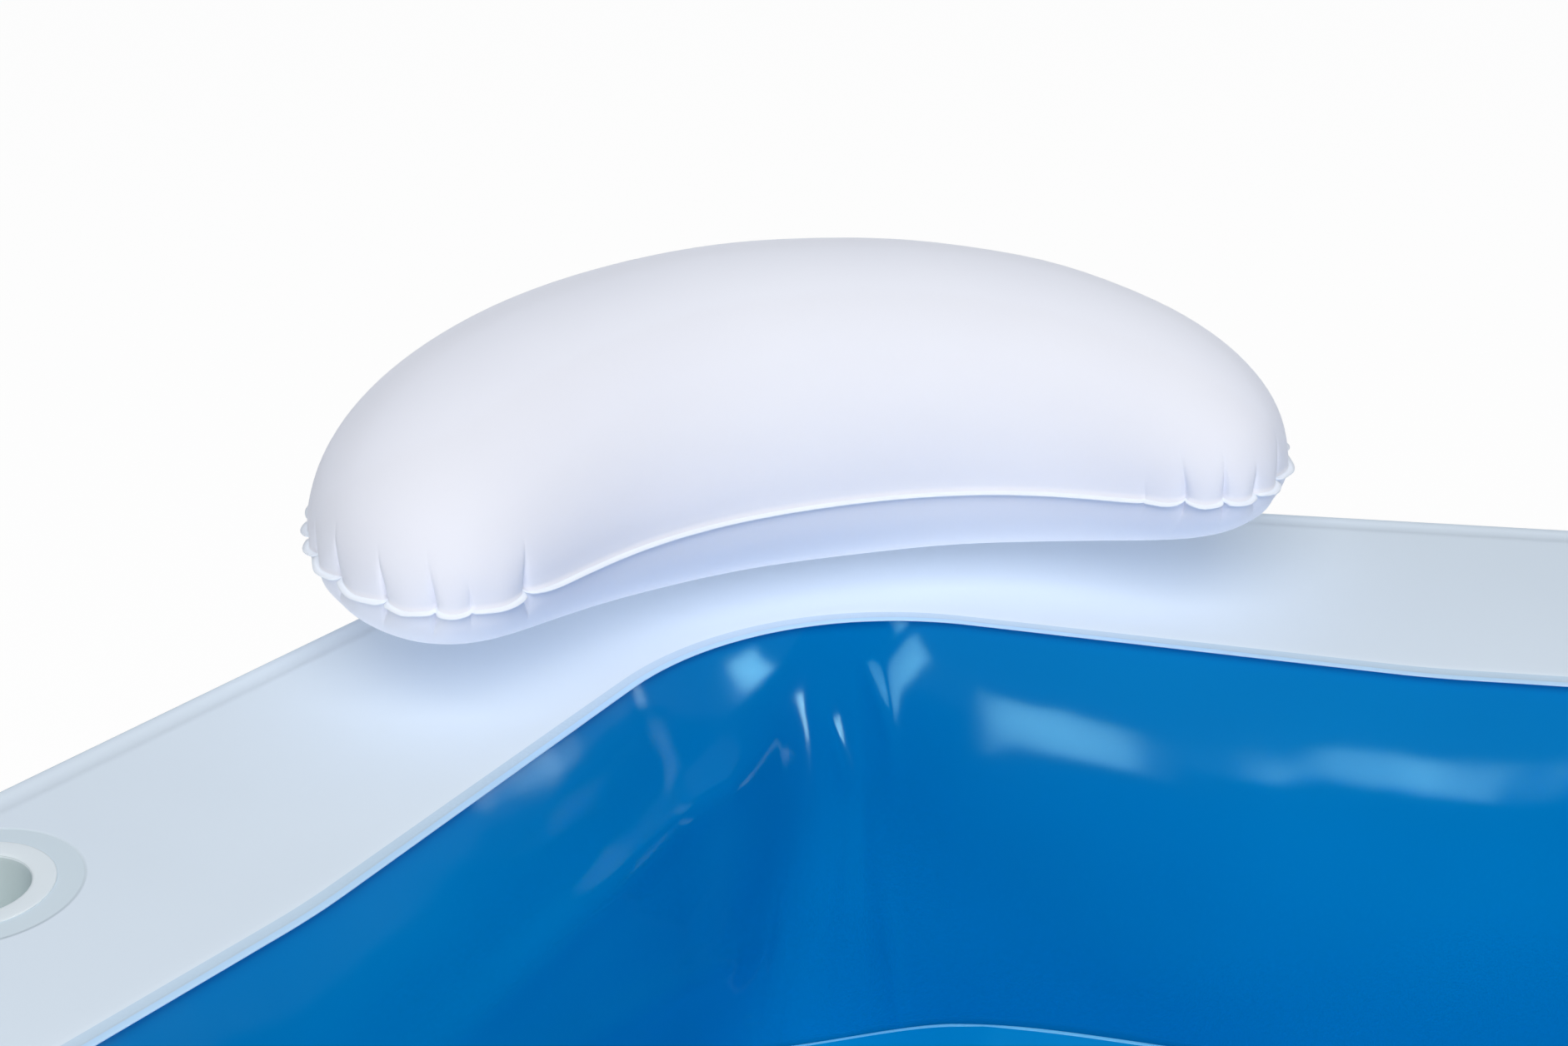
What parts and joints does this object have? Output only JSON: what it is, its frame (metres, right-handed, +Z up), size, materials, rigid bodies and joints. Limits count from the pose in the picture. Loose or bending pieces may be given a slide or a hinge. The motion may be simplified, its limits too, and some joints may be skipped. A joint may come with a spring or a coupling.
{
  "type": "inflatable family pool",
  "caption": "Hexagonal inflatable pool: white air ring with a flat rim, blue basin, cup holders in the rim and lift-off inflatable headrests at opposite corners.",
  "frame": {"origin": "on the ground under the middle of the pool", "axes": "+Z up, +Y from the middle to the corner with headrest 1, +X to the middle of side 1"},
  "size_m": [2.8114, 3.241, 0.7135],
  "materials": {
    "white_vinyl": "white flexible vinyl film, semi-matt, slightly translucent",
    "rim_vinyl": "pale white flexible vinyl film, semi-matt",
    "blue_vinyl": "glossy translucent blue vinyl film",
    "clear_vinyl": "clear vinyl film",
    "cup_vinyl": "moulded semi-matt greenish white vinyl",
    "valve_vinyl": "soft moulded milky vinyl",
    "patch_cloth": "white hook-and-loop cloth"
  },
  "bodies": {
    "pool": {"floor_sheet": "blue_vinyl", "rim_top_panel": "rim_vinyl", "inner_wall_panel_1": "blue_vinyl", "inner_wall_panel_2": "blue_vinyl", "inner_wall_panel_3": "blue_vinyl", "inner_wall_panel_4": "blue_vinyl", "inner_wall_panel_5": "blue_vinyl", "inner_wall_panel_6": "blue_vinyl", "outer_wall_panel_1": "white_vinyl", "outer_wall_panel_2": "white_vinyl", "outer_wall_panel_3": "white_vinyl", "outer_wall_panel_4": "white_vinyl", "outer_wall_panel_5": "white_vinyl", "outer_wall_panel_6": "white_vinyl", "bulkhead_1": "clear_vinyl", "corner_web_2": "clear_vinyl", "corner_web_3": "clear_vinyl", "bulkhead_4": "clear_vinyl", "corner_web_5": "clear_vinyl", "corner_web_6": "clear_vinyl", "side_web_1": "clear_vinyl", "side_web_2": "clear_vinyl", "side_web_3": "clear_vinyl", "side_web_4": "clear_vinyl", "side_web_5": "clear_vinyl", "side_web_6": "clear_vinyl", "cup_holder_1": "cup_vinyl", "cup_holder_2": "cup_vinyl", "chamber_valve_1_base": "valve_vinyl", "chamber_valve_2_base": "valve_vinyl", "drain_base": "valve_vinyl", "headrest_1_loop_patch": "patch_cloth", "headrest_2_loop_patch": "patch_cloth"},
    "headrest_1": {"headrest_1_top_panel": "white_vinyl", "headrest_1_bottom_panel": "white_vinyl", "headrest_1_valve_base": "valve_vinyl", "headrest_1_hook_patch": "patch_cloth"},
    "headrest_2": {"headrest_2_top_panel": "white_vinyl", "headrest_2_bottom_panel": "white_vinyl", "headrest_2_valve_base": "valve_vinyl", "headrest_2_hook_patch": "patch_cloth"},
    "headrest_1_stopper": {"headrest_1_valve_stopper": "valve_vinyl"},
    "headrest_2_stopper": {"headrest_2_valve_stopper": "valve_vinyl"},
    "headrest_1_flap": {"headrest_1_valve_flap": "clear_vinyl"},
    "headrest_2_flap": {"headrest_2_valve_flap": "clear_vinyl"},
    "chamber_1_stopper": {"chamber_valve_1_stopper": "valve_vinyl"},
    "chamber_2_stopper": {"chamber_valve_2_stopper": "valve_vinyl"},
    "chamber_1_flap": {"chamber_valve_1_flap": "clear_vinyl"},
    "chamber_2_flap": {"chamber_valve_2_flap": "clear_vinyl"},
    "drain_stopper": {"drain_stopper": "valve_vinyl"}
  },
  "joints": [
    {"name": "headrest_1_lift", "type": "slide", "parent": "pool", "child": "headrest_1", "axis": [0, 0, 1], "range_m": [0, 0.25]},
    {"name": "headrest_2_lift", "type": "slide", "parent": "pool", "child": "headrest_2", "axis": [0, 0, 1], "range_m": [0, 0.25]},
    {"name": "headrest_1_stopper_strap", "type": "hinge", "parent": "headrest_1", "child": "headrest_1_stopper", "pos_m": [0.06268, 1.59156, 0.63661], "axis": [0.9976, -0.0698, 0], "range_deg": [0, 150]},
    {"name": "headrest_2_stopper_strap", "type": "hinge", "parent": "headrest_2", "child": "headrest_2_stopper", "pos_m": [-0.06268, -1.59156, 0.63661], "axis": [-0.9976, 0.0698, 0], "range_deg": [0, 150]},
    {"name": "headrest_1_flap_edge", "type": "hinge", "parent": "headrest_1", "child": "headrest_1_flap", "pos_m": [0.06194, 1.58097, 0.62547], "axis": [-0.9976, 0.0698, 0], "range_deg": [0, 60], "stiffness_Nm_per_rad": 0.00002, "springref_deg": -17.19},
    {"name": "headrest_2_flap_edge", "type": "hinge", "parent": "headrest_2", "child": "headrest_2_flap", "pos_m": [-0.06194, -1.58097, 0.62547], "axis": [0.9976, -0.0698, 0], "range_deg": [0, 60], "stiffness_Nm_per_rad": 0.00002, "springref_deg": -17.19},
    {"name": "chamber_1_stopper_strap", "type": "hinge", "parent": "pool", "child": "chamber_1_stopper", "pos_m": [1.40368, 0.3, 0.2487], "axis": [0, -1, 0], "range_deg": [0, 150]},
    {"name": "chamber_2_stopper_strap", "type": "hinge", "parent": "pool", "child": "chamber_2_stopper", "pos_m": [-1.40368, -0.3, 0.2487], "axis": [0, 1, 0], "range_deg": [0, 150]},
    {"name": "chamber_1_flap_edge", "type": "hinge", "parent": "pool", "child": "chamber_1_flap", "pos_m": [1.38008, 0.3, 0.23995], "axis": [0, 1, 0], "range_deg": [0, 60], "stiffness_Nm_per_rad": 0.0001, "springref_deg": -11.46},
    {"name": "chamber_2_flap_edge", "type": "hinge", "parent": "pool", "child": "chamber_2_flap", "pos_m": [-1.38008, -0.3, 0.23995], "axis": [0, -1, 0], "range_deg": [0, 60], "stiffness_Nm_per_rad": 0.0001, "springref_deg": -11.46},
    {"name": "drain_stopper_strap", "type": "hinge", "parent": "pool", "child": "drain_stopper", "pos_m": [-0.79718, -0.46025, 0.0097], "axis": [0.5, -0.866, 0], "range_deg": [0, 150]}
  ]
}
